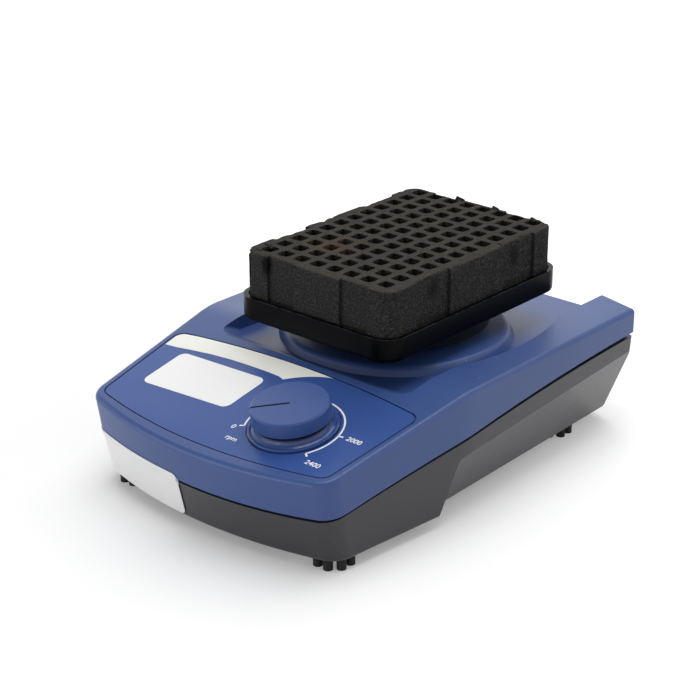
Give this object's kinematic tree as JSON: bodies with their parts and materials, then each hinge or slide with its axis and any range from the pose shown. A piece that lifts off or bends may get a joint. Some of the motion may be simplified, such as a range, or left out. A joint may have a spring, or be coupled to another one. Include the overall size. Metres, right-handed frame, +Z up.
{
  "type": "vortex mixer",
  "caption": "Bench vortex mixer: wedge-shaped two-part housing, sloped panel with a speed knob, and an orbiting tray that holds a foam block for small tubes.",
  "frame": {"origin": "on the table, under the middle of the body's box", "axes": "+X to the right of the operator, +Y from the panel to the rear, +Z up"},
  "size_m": [0.1456, 0.211, 0.0928],
  "materials": {
    "housing_blue": "fine moulded texture, semi-gloss",
    "panel_blue": "printed film, satin",
    "knob_blue": "satin",
    "base_grey": "satin",
    "rubber_black": "matt",
    "tray_black": "moulded, semi-gloss",
    "foam_grey": "open-cell foam, matt",
    "steel": "turned",
    "zinc_steel": "zinc plated",
    "brass": "turned",
    "aluminium": "milled",
    "hub_black": "anodised black",
    "board_green": "solder mask",
    "black_plastic": "moulded"
  },
  "bodies": {
    "base": {"upper_housing": "housing_blue", "lower_housing": "base_grey", "housing_screws": "zinc_steel", "front_panel": "panel_blue", "knob_bezel": "knob_blue", "pot_body": "black_plastic", "pot_nut": "zinc_steel", "ballast_plate": "steel", "motor_bracket": "steel", "motor_can": "steel", "motor_screws": "zinc_steel", "shaft_bearing": "steel", "idler_bushes": "brass", "control_board": "board_green", "board_standoffs": "brass", "board_screws": "zinc_steel", "capacitors": "aluminium", "motor_driver": "black_plastic", "power_inlet": "black_plastic", "inlet_pin": "zinc_steel", "foot_front_left": "rubber_black", "foot_front_right": "rubber_black", "foot_rear_left": "rubber_black", "foot_rear_right": "rubber_black"},
    "knob": {"speed_knob": "knob_blue", "pot_shaft": "steel"},
    "drive": {"eccentric_shaft": "steel", "counterweight": "brass"},
    "table": {"orbit_carrier": "aluminium", "orbit_bearing": "steel", "table_hub": "hub_black", "hub_bolt": "zinc_steel", "drip_skirt": "rubber_black", "plate_tray": "tray_black", "tray_screws": "zinc_steel", "foam_block": "foam_grey"},
    "idler_1": {"idler_crank_1": "steel"},
    "idler_2": {"idler_crank_2": "steel"},
    "idler_3": {"idler_crank_3": "steel"}
  },
  "joints": [
    {"name": "drive_spin", "type": "hinge", "parent": "base", "child": "drive", "pos_m": [0, 0.0232, 0.033], "axis": [0, 0, 1], "continuous": true},
    {"name": "table_orbit", "type": "hinge", "parent": "drive", "child": "table", "pos_m": [0.00112, 0.02515, 0.04], "axis": [0, 0, 1], "continuous": true},
    {"name": "idler_1_spin", "type": "hinge", "parent": "base", "child": "idler_1", "pos_m": [0, 0.0592, 0.031], "axis": [0, 0, 1], "continuous": true},
    {"name": "idler_2_spin", "type": "hinge", "parent": "base", "child": "idler_2", "pos_m": [-0.03118, 0.0052, 0.031], "axis": [0, 0, 1], "continuous": true},
    {"name": "idler_3_spin", "type": "hinge", "parent": "base", "child": "idler_3", "pos_m": [0.03118, 0.0052, 0.031], "axis": [0, 0, 1], "continuous": true},
    {"name": "speed_turn", "type": "hinge", "parent": "base", "child": "knob", "pos_m": [0.027, -0.0717, 0.04623], "axis": [0, -0.1822, 0.9833], "range_deg": [-248, 0]}
  ],
  "couplings": [
    {"joint": "table_orbit", "follows": "drive_spin", "ratio": -1},
    {"joint": "idler_1_spin", "follows": "drive_spin", "ratio": 1},
    {"joint": "idler_2_spin", "follows": "drive_spin", "ratio": 1},
    {"joint": "idler_3_spin", "follows": "drive_spin", "ratio": 1}
  ]
}
